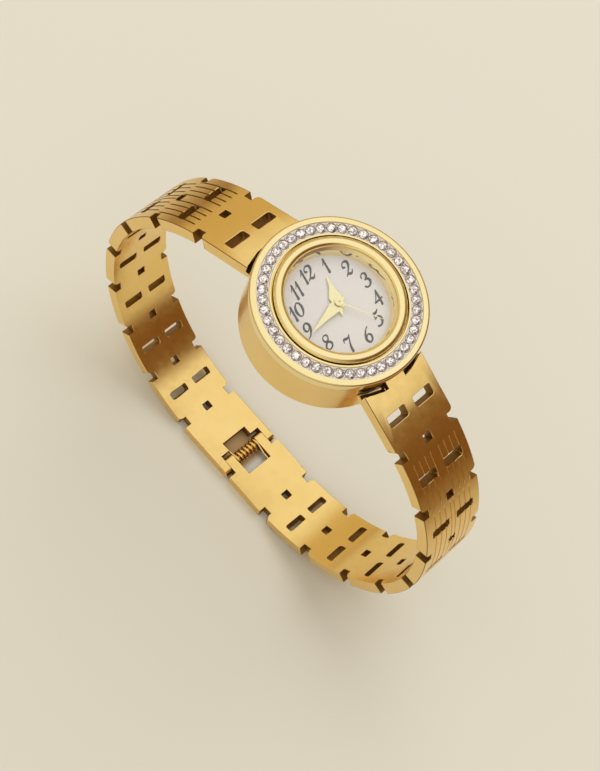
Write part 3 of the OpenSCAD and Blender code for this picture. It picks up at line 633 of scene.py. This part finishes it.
def true_normals(obj, side):
    mesh = obj.data
    mesh.set_sharp_from_angle(angle=math.radians(50))
    normals = [Vector(n.vector) for n in mesh.corner_normals]
    for face in mesh.polygons:
        lean = face.normal.dot(band_normal(face.center.x, face.center.z, side))
        skin = abs(lean) > 0.99 and face.material_index == SATIN
        for corner in face.loop_indices:
            at = mesh.vertices[mesh.loops[corner].vertex_index].co
            if skin and lean > 0:
                normals[corner] = band_normal(at.x, at.z, side, roll_over(at.x, at.z))
            elif skin:
                normals[corner] = -band_normal(at.x, at.z, side)
            elif face.area > LARGE_WALL * MM * MM:
                normals[corner] = face.normal.copy()
    mesh.normals_split_custom_set(normals)
    print(obj.name, "directions set:", len(normals))


for name, side, body in (("left_arm", -1, "case"), ("right_arm", 1, "right_arm")):
    half = band_halves[name]
    true_normals(half, side)
    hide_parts(name)
    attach(half, body)

# %% [markdown]
# ## Turned parts of the head
# Bezel and dial ring are turned parts. Each is an outline of radius and height, spun round the dial's
# axis. A corner with a third number is rounded by that radius, as a polisher leaves it.

# %% Helpers for turned parts
def eased(outline, parts=5):
    """The outline with every corner that names a radius replaced by an arc of that radius."""
    done = []
    for index, (r, z, *rounding) in enumerate(outline):
        at = Vector((r, z))
        if not rounding:
            done.append(at)
            continue
        radius = rounding[0]
        to_last = (Vector(outline[index - 1][:2]) - at).normalized()
        to_next = (Vector(outline[(index + 1) % len(outline)][:2]) - at).normalized()
        half = to_last.angle(to_next) / 2
        centre = at + (to_last + to_next).normalized() * radius / math.sin(half)
        start = at + to_last * radius / math.tan(half) - centre
        end = at + to_next * radius / math.tan(half) - centre
        swing = start.angle_signed(end)
        for i in range(parts + 1):
            done.append(centre + Matrix.Rotation(-swing * i / parts, 2) @ start)
    return done


def turned(name, outline, material, segments=180):
    bm = bmesh.new()
    angles = [math.tau * i / segments for i in range(segments)]
    rings = [[bm.verts.new((r * math.cos(a) * MM, r * math.sin(a) * MM, z * MM)) for a in angles]
             for r, z in eased(outline)]
    for one, two in zip(rings, rings[1:] + rings[:1]):
        for i in range(segments):
            bm.faces.new((one[i], one[(i + 1) % segments], two[(i + 1) % segments], two[i]))
    bmesh.ops.recalc_face_normals(bm, faces=bm.faces)
    mesh = mesh_of(name, bm)
    mesh.shade_smooth()
    mesh.set_sharp_from_angle(angle=math.radians(35))
    return new_object(name, mesh, material)


# %% Bezel and dial ring with eased edges
BEZEL_TOP, BEZEL_FOOT, BEZEL_R = 58.478, 57.038, 11.5
CHANNEL_FLOOR, CHANNEL_IN, CHANNEL_OUT = 57.528, 9.04, 10.6
SPIGOT_END, SPIGOT_IN, SPIGOT_OUT = 56.308, 9.58, 10.18
LEDGE_TOP, LEDGE_R, MOUTH_R = 57.288, 8.1, 8.75
SHARP_EDGE, FOOT_EDGE, TOP_EDGE = 0.07, 0.08, 0.34
DIAL_TOP, FLANGE_TOP, RIM_TOP = 56.738, 57.018, 57.968
RIM_IN, RIM_LIP, RIM_OUT, FLANGE_R = 6.8, 7.44, 7.73, 8.9

bezel = turned("bezel_finished", [
    (LEDGE_R, BEZEL_FOOT), (SPIGOT_IN, BEZEL_FOOT), (SPIGOT_IN, SPIGOT_END), (SPIGOT_OUT, SPIGOT_END),
    (SPIGOT_OUT, BEZEL_FOOT), (BEZEL_R, BEZEL_FOOT, FOOT_EDGE), (BEZEL_R, BEZEL_TOP, TOP_EDGE),
    (CHANNEL_OUT, BEZEL_TOP, SHARP_EDGE), (CHANNEL_OUT, CHANNEL_FLOOR), (CHANNEL_IN, CHANNEL_FLOOR),
    (CHANNEL_IN, BEZEL_TOP, SHARP_EDGE), (MOUTH_R, BEZEL_TOP, SHARP_EDGE), (MOUTH_R, LEDGE_TOP),
    (LEDGE_R, LEDGE_TOP)], gold_head)
rim = turned("dial_ring_finished", [
    (RIM_IN, DIAL_TOP), (FLANGE_R, DIAL_TOP), (FLANGE_R, FLANGE_TOP), (RIM_OUT, FLANGE_TOP),
    (RIM_OUT, RIM_TOP), (RIM_LIP, RIM_TOP), (7.05, 57.6, 0.05)], gold_rim)
for piece, node in ((bezel, "bezel"), (rim, "dial_ring")):
    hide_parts(node)
    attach(piece, "case")
    print(piece.name, "faces:", len(piece.data.polygons))

# %% [markdown]
# ## Stones
# A round brilliant is the shape inside a set of rings of points: an eight-sided table, the crown, the
# girdle and the pavilion down to a point. A convex hull closes them with the right facets. One stone
# is then repeated round the channel, each turned at random about its own axis, as a setter leaves it.

# %% One brilliant
STONES, STONE_R, STONE_RING = 44, 0.64, 9.82
STONE_Z = BEZEL_TOP - 0.2
# Each ring: points, share of the radius, height, and the share of a step by which it is turned.
CUT = [(8, 0.56, 0.25, 0), (8, 0.80, 0.165, 0.5), (16, 1.0, 0.05, 0), (16, 1.0, 0.0, 0),
       (8, 0.55, -0.235, 0.5), (1, 0, -0.5, 0)]


def brilliant(name, radius):
    bm = bmesh.new()
    for count, share, z, phase in CUT:
        r = share * radius
        for i in range(count):
            angle = math.tau * (i + phase) / count
            bm.verts.new((r * math.cos(angle) * MM, r * math.sin(angle) * MM, z * MM))
    bmesh.ops.convex_hull(bm, input=bm.verts)
    bmesh.ops.dissolve_limit(bm, angle_limit=0.02, verts=bm.verts, edges=bm.edges)
    return new_object(name, mesh_of(name, bm), crystal)


# %% A tree that sets pieces in a ring
RANDOM_MAX, RANDOM_VALUE = 3, 1
ring_tree, ring_in, ring_out = geometry_tree("ring_of_pieces", [
    ("Piece", "Object", None), ("Count", "Int", 44), ("Ring radius", "Float", 0.01),
    ("Height", "Float", 0.0), ("Start angle", "Float", 0.0), ("Random turn", "Float", 0.0),
    ("Seed", "Int", 1), ("Finish", "Material", None)])
ring = add_node(ring_tree, "GeometryNodeMeshCircle", {
    "Vertices": ring_in["Count"], "Radius": ring_in["Ring radius"]})
lift = add_node(ring_tree, "ShaderNodeCombineXYZ", {"Z": ring_in["Height"]})
begin = add_node(ring_tree, "ShaderNodeCombineXYZ", {"Z": ring_in["Start angle"]})
placed = add_node(ring_tree, "GeometryNodeTransform", {
    "Geometry": ring.outputs[0], "Translation": lift.outputs[0], "Rotation": begin.outputs[0]})
piece = add_node(ring_tree, "GeometryNodeObjectInfo", {"Object": ring_in["Piece"]})
turn = add_node(ring_tree, "FunctionNodeRandomValue", {
    RANDOM_MAX: ring_in["Random turn"], "Seed": ring_in["Seed"]}, data_type="FLOAT")
spin = add_node(ring_tree, "ShaderNodeCombineXYZ", {"Z": turn.outputs[RANDOM_VALUE]})
set_pieces = add_node(ring_tree, "GeometryNodeInstanceOnPoints", {
    "Points": placed.outputs[0], "Instance": piece.outputs["Geometry"], "Rotation": spin.outputs[0]})
end_tree(ring_tree, set_pieces.outputs[0], ring_in["Finish"], ring_out)

# %% Set the stones
one_stone = brilliant("one_stone", STONE_R)
stones = grow("faceted_stones", ring_tree, {
    "Piece": one_stone, "Count": STONES, "Ring radius": STONE_RING * MM, "Height": STONE_Z * MM,
    "Start angle": math.pi / STONES, "Random turn": math.tau / 8, "Seed": 4, "Finish": crystal})
bpy.data.objects.remove(one_stone)
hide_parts("bezel_stones")
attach(stones, "case")
print("stones:", STONES, "faces:", len(stones.data.polygons))

# %% [markdown]
# ## Beads and seats of the setting
# Between neighbouring stones the setter raises small beads of metal from the bed, and pushes them
# over the girdles. They are round, tiny and many, so a coarse ball is enough. Each stone sits in a
# drilled seat, drawn as a dark rim of painted shade round it.

# %% Two rings of beads
BEAD_R, BEAD_OFFSET, BEAD_Z = 0.13, 0.5, BEZEL_TOP - 0.12


def bead(name, radius):
    bm = bmesh.new()
    bmesh.ops.create_icosphere(bm, subdivisions=2, radius=radius * MM)
    mesh = mesh_of(name, bm)
    mesh.shade_smooth()
    return new_object(name, mesh, rhodium)


one_bead = bead("one_bead", BEAD_R)
bead_rings = {"outer_beads": STONE_RING + BEAD_OFFSET, "inner_beads": STONE_RING - BEAD_OFFSET}
for name, ring_radius in bead_rings.items():
    beads = grow(name, ring_tree, {
        "Piece": one_bead, "Count": STONES, "Ring radius": ring_radius * MM, "Height": BEAD_Z * MM,
        "Start angle": 0.0, "Finish": rhodium})
    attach(beads, "case")
    print(name, "faces:", len(beads.data.polygons))
bpy.data.objects.remove(one_bead)

# %% One ring of seats
SEAT_IN, SEAT_OUT = STONE_R - 0.01, STONE_R + 0.05
SEAT_TOP, SEAT_FOOT, SEAT_SIDES = 0.05, -0.1, 28


def seat(name):
    """The rim of a drilled seat, painted dark as the shade round its stone."""
    angles = [math.tau * i / SEAT_SIDES for i in range(SEAT_SIDES)]
    outline = ((SEAT_IN, SEAT_TOP), (SEAT_OUT, SEAT_TOP), (SEAT_OUT, SEAT_FOOT), (SEAT_IN, SEAT_FOOT))
    corners = [(r * math.cos(a) * MM, r * math.sin(a) * MM, z * MM) for r, z in outline for a in angles]
    faces = []
    for k in range(4):
        here, there = k * SEAT_SIDES, (k + 1) % 4 * SEAT_SIDES
        for i in range(SEAT_SIDES):
            beside = (i + 1) % SEAT_SIDES
            faces.append((here + i, there + i, there + beside, here + beside))
    mesh = bpy.data.meshes.new(name)
    mesh.from_pydata(corners, [], faces)
    return new_object(name, mesh, seat_shade)


one_seat = seat("one_seat")
seats = grow("stone_seats", ring_tree, {
    "Piece": one_seat, "Count": STONES, "Ring radius": STONE_RING * MM, "Height": STONE_Z * MM,
    "Start angle": math.pi / STONES, "Finish": seat_shade})
bpy.data.objects.remove(one_seat)
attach(seats, "case")
print("seats:", STONES, "faces:", len(seats.data.polygons))

# %% [markdown]
# ## The hinge spring
# Round wire, coiled round the pin with a straight leg into each half. The model's wire is thin with
# six flats; this one is as thick as the real wire and round. A helix is a line, so the wire is the
# same recipe as the grooves: a circle follows a curve.

# %% A tree that draws a wire along a line
wire_tree, wire_in, wire_out = geometry_tree("round_wire", [
    ("Line", "Object", None), ("Wire radius", "Float", 1e-4), ("Finish", "Material", None)])
wire_line = add_node(wire_tree, "GeometryNodeObjectInfo", {"Object": wire_in["Line"]}).outputs["Geometry"]
section = add_node(wire_tree, "GeometryNodeCurvePrimitiveCircle", {
    "Resolution": 14, "Radius": wire_in["Wire radius"]})
wire = add_node(wire_tree, "GeometryNodeCurveToMesh", {
    "Curve": wire_line, "Profile Curve": section.outputs[0], "Fill Caps": True})
end_tree(wire_tree, wire.outputs[0], wire_in["Finish"], wire_out)

# %% Wire along a helix
HINGE_Z = 1.05
SPRING_TURNS, SPRING_PITCH, SPRING_R, WIRE_R = 6, 0.69, 0.85, 0.19
LEG_START, LEG_END = 2.0, 3.8
STEPS = 32 * SPRING_TURNS

lead = math.asin(SPRING_R / LEG_START)
half_width = SPRING_PITCH * (math.degrees(lead) + 180 * SPRING_TURNS) / 360
coil_points = []
for i in range(STEPS + 1):
    wound = -lead + (math.tau * SPRING_TURNS + 2 * lead) * i / STEPS
    along_pin = SPRING_PITCH * (wound - math.pi * SPRING_TURNS) / math.tau
    coil_points.append((SPRING_R * math.sin(wound), along_pin, HINGE_Z + SPRING_R * math.cos(wound)))
spring_line = poly_curve("spring_line", [
    (-LEG_END, -half_width, HINGE_Z), (-LEG_START, -half_width, HINGE_Z), *coil_points,
    (LEG_START, half_width, HINGE_Z), (LEG_END, half_width, HINGE_Z)])
spring = grow("hinge_spring_wire", wire_tree, {
    "Line": spring_line, "Wire radius": WIRE_R * MM, "Finish": gold_polished})
bpy.data.objects.remove(spring_line)
spring.data.shade_smooth()
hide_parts("hinge_spring")
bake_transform(spring)
print("spring wire half width:", round(half_width, 3), "mm")

# %% [markdown]
# ## The numbers on the dial
# The numbers are drawn with a broad pen: thin where the pen travels along its edge, thick across it.
# Each figure is a few strokes, each stroke a handful of points with a width at every one. A smooth
# line through the points, widened to both sides, gives the outline. All lean forward a little.

# %% The strokes of each figure
FIGURES = {
    "0": [[(0.36, 1.0, .07), (0.14, 0.82, .13), (0.05, 0.5, .17), (0.12, 0.16, .12), (0.32, 0.0, .07),
           (0.53, 0.18, .13), (0.62, 0.5, .17), (0.55, 0.84, .12), (0.36, 1.0, .07)]],
    "1": [[(0.0, 0.66, .05), (0.12, 0.8, .06), (0.24, 1.02, .09)],
          [(0.24, 1.02, .13), (0.24, 0.6, .14), (0.24, 0.25, .14), (0.24, 0.0, .19)]],
    "2": [[(0.16, 0.66, .12), (0.04, 0.7, .12), (0.06, 0.9, .08), (0.28, 1.02, .1), (0.52, 0.92, .16),
           (0.56, 0.7, .17), (0.42, 0.44, .12), (0.2, 0.2, .08), (0.0, 0.03, .07)],
          [(0.0, 0.03, .07), (0.16, 0.13, .12), (0.34, 0.04, .16), (0.5, 0.02, .12), (0.66, 0.2, .05)]],
    "3": [[(0.06, 0.8, .1), (0.12, 0.96, .08), (0.32, 1.02, .1), (0.5, 0.9, .15), (0.48, 0.68, .14),
           (0.24, 0.54, .07)],
          [(0.24, 0.54, .07), (0.5, 0.48, .14), (0.6, 0.26, .17), (0.46, 0.05, .13), (0.2, 0.0, .1),
           (0.02, 0.14, .12)]],
    "4": [[(0.5, 1.02, .1), (0.3, 0.66, .08), (0.0, 0.32, .06)],
          [(0.0, 0.32, .12), (0.3, 0.32, .12), (0.7, 0.34, .09)],
          [(0.5, 1.02, .09), (0.5, 0.6, .15), (0.48, 0.2, .16), (0.46, -0.04, .16)]],
    "5": [[(0.2, 0.98, .08), (0.14, 0.78, .07), (0.1, 0.56, .06)],
          [(0.2, 0.96, .14), (0.38, 0.92, .15), (0.64, 1.05, .06)],
          [(0.1, 0.56, .06), (0.34, 0.64, .11), (0.56, 0.46, .17), (0.54, 0.18, .17), (0.32, 0.0, .11),
           (0.04, 0.06, .12)]],
    "6": [[(0.62, 1.02, .06), (0.34, 0.86, .1), (0.12, 0.55, .16), (0.08, 0.24, .16), (0.28, 0.0, .1),
           (0.52, 0.12, .14), (0.56, 0.38, .14), (0.36, 0.56, .08), (0.14, 0.4, .06)]],
    "7": [[(0.0, 0.78, .06), (0.08, 0.98, .12), (0.26, 0.94, .16), (0.46, 0.9, .12), (0.66, 1.04, .06)],
          [(0.66, 1.04, .06), (0.46, 0.66, .09), (0.34, 0.3, .15), (0.32, -0.03, .18)]],
    "8": [[(0.34, 0.54, .13), (0.12, 0.7, .12), (0.14, 0.94, .08), (0.34, 1.02, .08), (0.54, 0.9, .11),
           (0.5, 0.68, .1), (0.34, 0.54, .13), (0.1, 0.36, .13), (0.06, 0.12, .11), (0.3, 0.0, .08),
           (0.56, 0.12, .13), (0.58, 0.34, .14), (0.34, 0.54, .13)]],
    "9": [[(0.52, 0.66, .06), (0.3, 0.46, .08), (0.1, 0.6, .14), (0.12, 0.88, .14), (0.36, 1.02, .1),
           (0.57, 0.8, .16), (0.54, 0.46, .16), (0.32, 0.14, .1), (0.04, 0.0, .06)]],
}
print("figures:", len(FIGURES), "strokes:", sum(len(strokes) for strokes in FIGURES.values()))

# %% Helpers for pen strokes
INK = 1.28
TIP = [math.radians(a) for a in (84, 60, 35, 15)]


def catmull_rom(p, q, r, s, t):
    """A value between q and r on a curve that also heeds their neighbours; t goes from 0 to 1."""
    straight, bend, twist = r - p, 2 * p - 5 * q + 4 * r - s, 3 * q - p - 3 * r + s
    return 0.5 * (2 * q + straight * t + bend * t * t + twist * t ** 3)


def smooth_line(points, parts=8):
    """A curve through the points, with the width at each carried along."""
    padded = [points[0], *points, points[-1]]
    line = []
    for four in zip(padded, padded[1:], padded[2:], padded[3:]):
        for i in range(parts):
            line.append([catmull_rom(*values, i / parts) for values in zip(*four)])
    return line + [list(points[-1])]


def round_tip(sample, way, angles):
    """Samples that draw a stroke in to a round tip. The way is -1 at its start and 1 at its end."""
    x, y, half, along = sample
    ahead = [way * half * math.sin(a) for a in angles]
    return [(x + reach * math.cos(along), y + reach * math.sin(along), half * math.cos(a), along)
            for reach, a in zip(ahead, angles)]


def pen_stroke(bm, points, place, thick):
    """One stroke as a thin closed slab: four corners at each sample, with the ends drawn in."""
    line = smooth_line(points)
    samples = []
    for i, (x, y, width) in enumerate(line):
        before, after = line[max(i - 1, 0)], line[min(i + 1, len(line) - 1)]
        samples.append((x, y, INK * width / 2, math.atan2(after[1] - before[1], after[0] - before[0])))
    path = round_tip(samples[0], -1, TIP) + samples + round_tip(samples[-1], 1, TIP[::-1])
    rings = []
    for x, y, half, along in path:
        aside = (-half * math.sin(along), half * math.cos(along))
        rings.append([bm.verts.new(place(x + side * aside[0], y + side * aside[1], up))
                      for side, up in ((1, thick), (-1, thick), (-1, 0), (1, 0))])
    for one, two in zip(rings, rings[1:]):
        for k in range(4):
            bm.faces.new((one[k], two[k], two[(k + 1) % 4], one[(k + 1) % 4]))
    bm.faces.new(rings[0])
    bm.faces.new(rings[-1][::-1])


# %% Numbers round the dial
NUMBER_RING, NUMBER_H, LEAN = 5.35, 1.74, math.tan(math.radians(16))
DIAL_TURN = math.radians(3)
ADVANCE, ONE_ADVANCE, LAST_GAP = 0.74, 0.46, 0.1
INK_THICK, OVERLAP_STEP = 0.012, 0.001


def dial_number(bm, text, hour):
    widths = [ONE_ADVANCE if figure == "1" else ADVANCE for figure in text]
    angle = math.radians(180 - 30 * hour)
    level = Matrix.Rotation(DIAL_TURN, 2)
    across = -(sum(widths) - LAST_GAP) / 2
    for figure, width in zip(text, widths):
        def place(u, v, up):
            right = (across + u + LEAN * (v - 0.5)) * NUMBER_H
            x = NUMBER_RING * math.cos(angle) - (v - 0.5) * NUMBER_H
            at = level @ Vector((x, NUMBER_RING * math.sin(angle) + right))
            return (at.x * MM, at.y * MM, (DIAL_TOP + up) * MM)
        for order, stroke in enumerate(FIGURES[figure]):
            pen_stroke(bm, stroke, place, INK_THICK + OVERLAP_STEP * order)
        across += width


bm = bmesh.new()
for hour in range(1, 13):
    dial_number(bm, str(hour), hour)
bmesh.ops.recalc_face_normals(bm, faces=bm.faces)
numbers = new_object("dial_numbers", mesh_of("dial_numbers", bm), print_ink)
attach(numbers, "case")
print("strokes on the dial:", sum(len(FIGURES[f]) for hour in range(1, 13) for f in str(hour)))

# %% [markdown]
# ## The floor
# The watch stands on a plain pale sheet. Farther out the sheet is pale only to the camera, and brown
# to the gold, which would mirror it: a painted darker reflection. Inside the hinge window lies a
# painted brown shade: a soft spot under the left half, which squared coordinates make a rounded
# square like the window.

# %% Floor
FLOOR_REACH = 3
# Size and place of the painted shade spot under the hinge window.
SPOT_SCALE, SPOT_SHIFT = (350, 330, 0), (0.38, 0, 0)

paper, paper_tree, paper_shader = new_finish("floor_paper", Roughness=0.7)
where = add_node(paper_tree, "ShaderNodeTexCoord").outputs["Object"]
distance = add_node(paper_tree, "ShaderNodeVectorMath", {0: where}, operation="LENGTH").outputs["Value"]
near = between(paper_tree, distance, 1, 0, 0.04, 0.22)
seen = add_node(paper_tree, "ShaderNodeLightPath").outputs["Is Camera Ray"]
lit = add_node(paper_tree, "ShaderNodeMath", {0: near, 1: seen}, operation="MAXIMUM").outputs[0]
# Brown away from the watch, except to the camera: a painted darker reflection in the gold.
sheet = two_tones(paper_tree, lit, (0.30, 0.19, 0.10, 1), srgb(223, 219, 204))
# A painted brown shade under the hinge window, squared into a rounded square.
spot = add_node(paper_tree, "ShaderNodeVectorMath", {
    0: where, 1: SPOT_SCALE, 2: SPOT_SHIFT}, operation="MULTIPLY_ADD").outputs["Vector"]
squared = add_node(paper_tree, "ShaderNodeVectorMath", {
    0: spot, 1: spot}, operation="MULTIPLY").outputs["Vector"]
spot_far = add_node(paper_tree, "ShaderNodeVectorMath", {0: squared}, operation="LENGTH").outputs["Value"]
out_of_spot = between(paper_tree, spot_far, 0, 1, 0.6, 1.3)
colour_by(paper_tree, paper_shader, out_of_spot, (0.48, 0.31, 0.14, 1), sheet)

floor_mesh = bpy.data.meshes.new("floor")
signs = ((-1, -1), (1, -1), (1, 1), (-1, 1))
floor_mesh.from_pydata([(FLOOR_REACH * x, FLOOR_REACH * y, 0) for x, y in signs], [], [(0, 1, 2, 3)])
floor = new_object("floor", floor_mesh, paper)
print("floor:", 2 * FLOOR_REACH, "m across")

# %% [markdown]
# ## The light
# A shiny metal needs something to reflect: here that is a pale ceiling, and walls that are pale in
# front and to the left and dark brown to the right. The dark wall is what draws the brown bars across
# the gold. A broad lamp behind throws the soft shadow; it is kept out of the reflections, where its
# edge would show.

# %% Lamp
LAMP_TARGET = Vector((0, 0, 0.03))


def soft_lamp(name, toward, distance, size, radiance):
    """A square lamp that faces the watch. Its power follows from how bright its face should look."""
    lamp = bpy.data.lights.new(name, "AREA")
    lamp.size = size
    lamp.energy = radiance * math.pi * size * size
    holder = bpy.data.objects.new(name, lamp)
    bpy.context.scene.collection.objects.link(holder)
    direction = Vector(toward).normalized()
    holder.location = direction * distance + LAMP_TARGET
    holder.rotation_euler = direction.to_track_quat("Z", "Y").to_euler()
    holder.visible_glossy = False
    print(name, "power:", round(lamp.energy, 2), "W")


soft_lamp("lamp_overhead", (-0.12, 0.45, 0.88), distance=0.6, size=0.62, radiance=1.15)

# %% Room
world = bpy.data.worlds.new("room")
bpy.context.scene.world = world
world.use_nodes = True
room = world.node_tree
sight = add_node(room, "ShaderNodeTexCoord").outputs["Generated"]
looking = add_node(room, "ShaderNodeSeparateXYZ", {"Vector": sight}).outputs
to_left = between(room, looking["X"], 1, 0, -0.75, 0.75)
in_front = between(room, looking["Y"], 1, 0, -0.8, -0.1)
slope = add_node(room, "ShaderNodeMath", {0: looking["X"], 1: -0.12}, operation="MULTIPLY").outputs[0]
height = add_node(room, "ShaderNodeMath", {0: looking["Z"], 1: slope}, operation="ADD").outputs[0]
ceiling = add_node(room, "ShaderNodeMapRange", {
    "Value": height, "From Min": 0.56, "From Max": 0.74}, interpolation_type="SMOOTHSTEP")

side_walls = two_tones(room, to_left, (0.20, 0.095, 0.03, 1), (0.66, 0.52, 0.29, 1))
walls = two_tones(room, in_front, side_walls, (0.81, 0.74, 0.56, 1))
whole_room = two_tones(room, ceiling.outputs["Result"], walls, (1.0, 1.0, 1.0, 1))
room.links.new(whole_room, room.nodes["Background"].inputs["Color"])
print("room nodes:", len(room.nodes))
